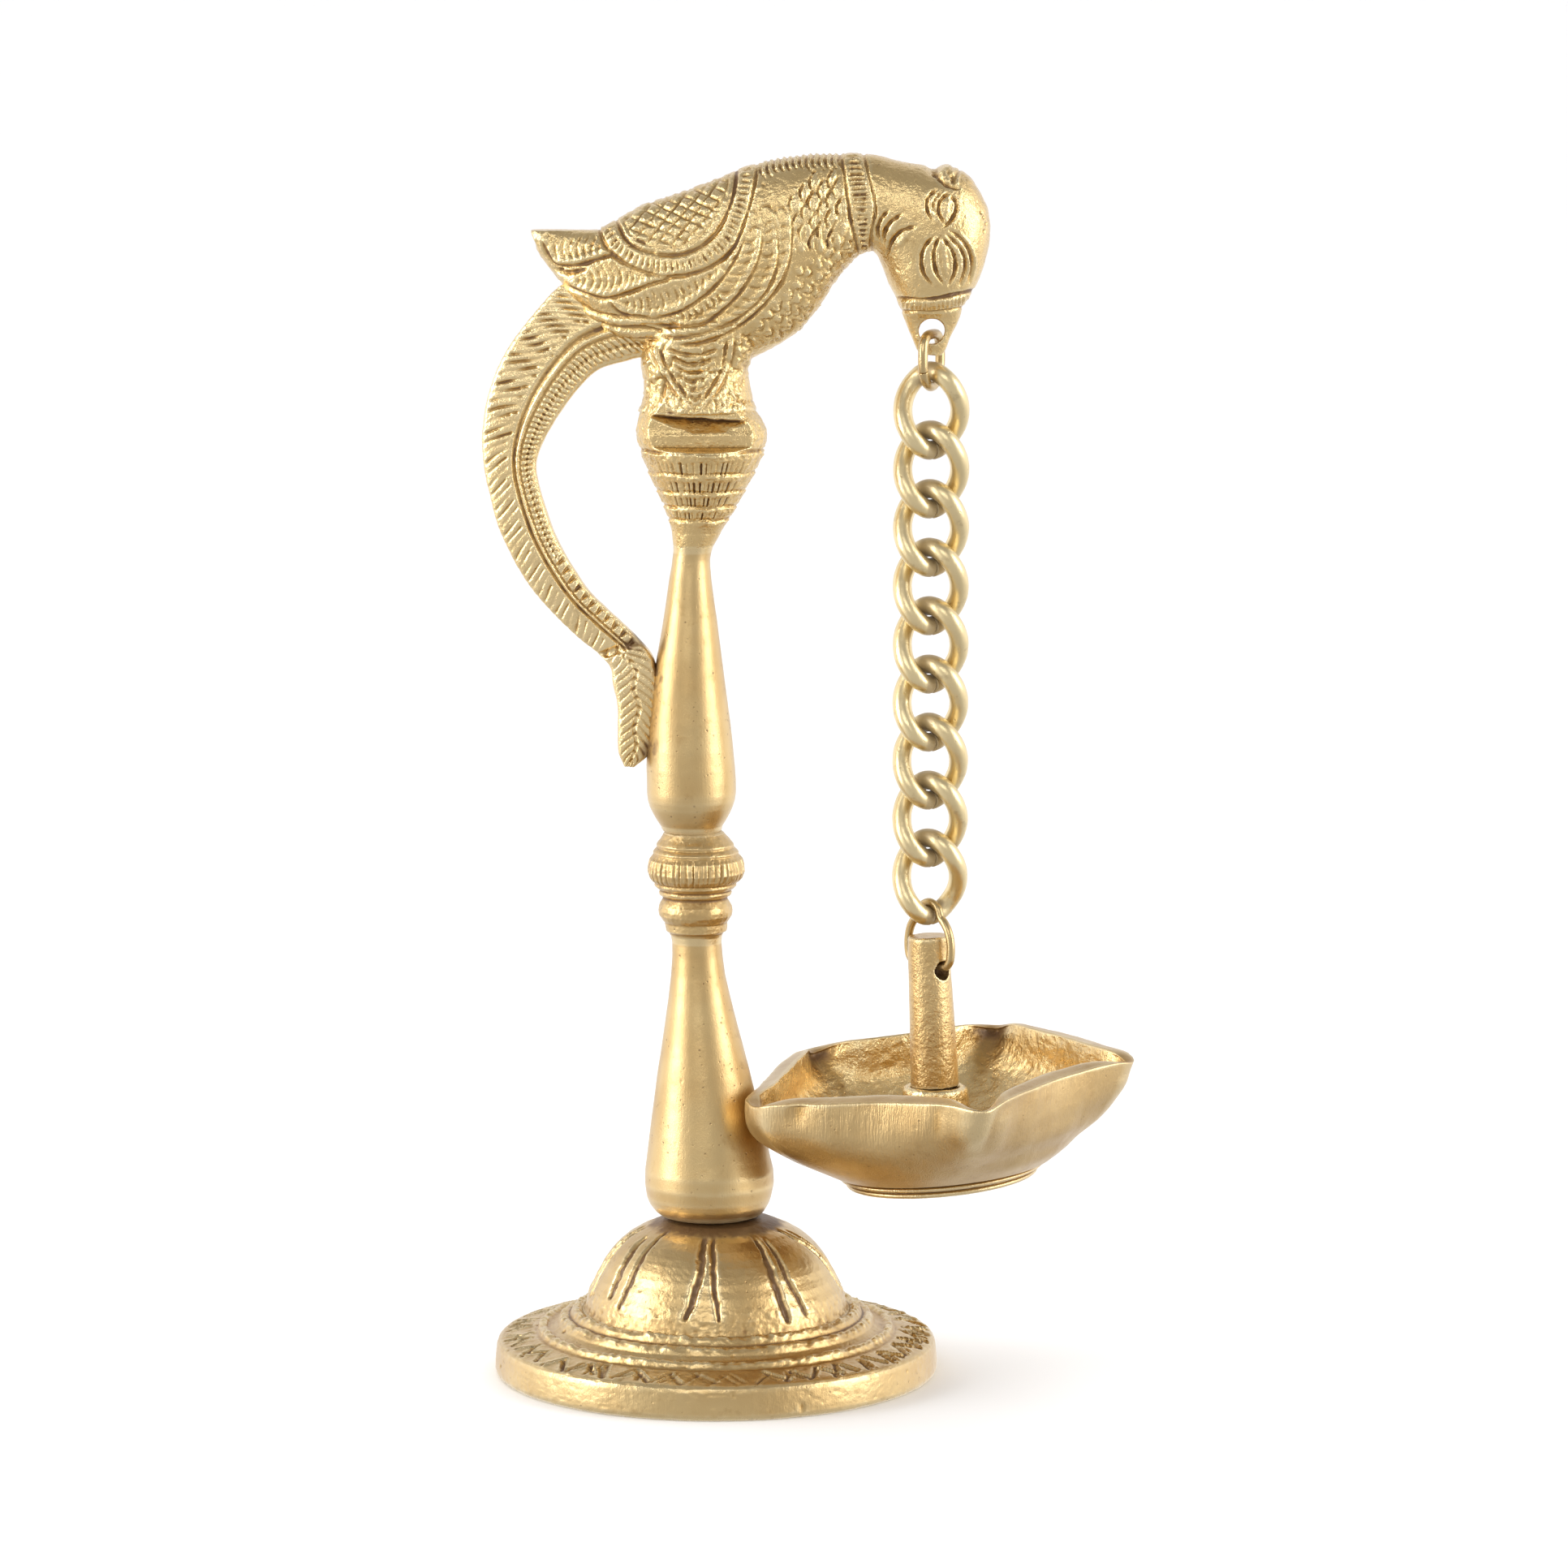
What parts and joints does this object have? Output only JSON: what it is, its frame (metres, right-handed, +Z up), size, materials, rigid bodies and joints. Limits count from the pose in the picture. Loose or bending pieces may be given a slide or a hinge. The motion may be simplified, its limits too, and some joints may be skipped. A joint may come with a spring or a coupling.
{
  "type": "standing oil lamp",
  "caption": "Brass standing oil lamp: a bird on a turned column holds a lipped bowl by a curb chain hung from its beak.",
  "frame": {"origin": "middle of the base's underside, on the column's line", "axes": "+Z up, +X from the column towards the hanging bowl, -Y the chased front of the lamp"},
  "size_m": [0.1068, 0.0726, 0.2],
  "materials": {
    "brass_base": "satin cast brass, dark patina in the cut lines",
    "brass_fastener": "plain turned",
    "brass_column": "satin turned and sanded",
    "brass_bird": "satin cast brass with chased feathers",
    "brass_wire": "drawn wire, antique",
    "brass_chain": "antique brass, lightly tumbled",
    "brass_bowl": "filed outside, sand-cast inside"
  },
  "bodies": {
    "stand": {"base_casting": "brass_base", "base_stud": "brass_fastener", "base_washer": "brass_fastener", "base_nut": "brass_fastener", "lower_stem": "brass_column", "stem_joining_stud": "brass_fastener", "bird_column": "brass_bird", "tail_plume": "brass_bird"},
    "ring": {"beak_ring": "brass_wire"},
    "link_1": {"chain_link_1": "brass_chain"},
    "link_2": {"chain_link_2": "brass_chain"},
    "link_3": {"chain_link_3": "brass_chain"},
    "link_4": {"chain_link_4": "brass_chain"},
    "link_5": {"chain_link_5": "brass_chain"},
    "link_6": {"chain_link_6": "brass_chain"},
    "link_7": {"chain_link_7": "brass_chain"},
    "link_8": {"chain_link_8": "brass_chain"},
    "link_9": {"chain_link_9": "brass_chain"},
    "hanger": {"hanger_wire": "brass_wire"},
    "bowl": {"diya_bowl": "brass_bowl", "diya_post": "brass_bowl"}
  },
  "joints": [
    {"name": "ring_swing", "type": "hinge", "parent": "stand", "child": "ring", "pos_m": [0.03503, 0, 0.171], "axis": [0, -1, 0], "range_deg": [0, 20]},
    {"name": "link_1_swing", "type": "hinge", "parent": "ring", "child": "link_1", "pos_m": [0.03503, 0, 0.16506], "axis": [0.7071, -0.7071, 0], "range_deg": [0, 15]},
    {"name": "link_2_swing", "type": "hinge", "parent": "link_1", "child": "link_2", "pos_m": [0.03503, 0, 0.15222], "axis": [-0.7071, -0.7071, 0], "range_deg": [0, 15]},
    {"name": "link_3_swing", "type": "hinge", "parent": "link_2", "child": "link_3", "pos_m": [0.03503, 0, 0.14598], "axis": [0.7071, -0.7071, 0], "range_deg": [0, 15]},
    {"name": "link_4_swing", "type": "hinge", "parent": "link_3", "child": "link_4", "pos_m": [0.03503, 0, 0.13314], "axis": [-0.7071, -0.7071, 0], "range_deg": [0, 15]},
    {"name": "link_5_swing", "type": "hinge", "parent": "link_4", "child": "link_5", "pos_m": [0.03503, 0, 0.1269], "axis": [0.7071, -0.7071, 0], "range_deg": [0, 15]},
    {"name": "link_6_swing", "type": "hinge", "parent": "link_5", "child": "link_6", "pos_m": [0.03503, 0, 0.11406], "axis": [-0.7071, -0.7071, 0], "range_deg": [0, 15]},
    {"name": "link_7_swing", "type": "hinge", "parent": "link_6", "child": "link_7", "pos_m": [0.03503, 0, 0.10782], "axis": [0.7071, -0.7071, 0], "range_deg": [0, 15]},
    {"name": "link_8_swing", "type": "hinge", "parent": "link_7", "child": "link_8", "pos_m": [0.03503, 0, 0.09498], "axis": [-0.7071, -0.7071, 0], "range_deg": [0, 15]},
    {"name": "link_9_swing", "type": "hinge", "parent": "link_8", "child": "link_9", "pos_m": [0.03503, 0, 0.08874], "axis": [0.7071, -0.7071, 0], "range_deg": [0, 15]},
    {"name": "hanger_swing", "type": "hinge", "parent": "link_9", "child": "hanger", "pos_m": [0.03503, 0, 0.0759], "axis": [-0.7071, -0.7071, 0], "range_deg": [0, 20]},
    {"name": "bowl_swing", "type": "hinge", "parent": "hanger", "child": "bowl", "pos_m": [0.03503, 0, 0.06722], "axis": [0.6691, -0.7431, 0], "range_deg": [0, 12]}
  ]
}
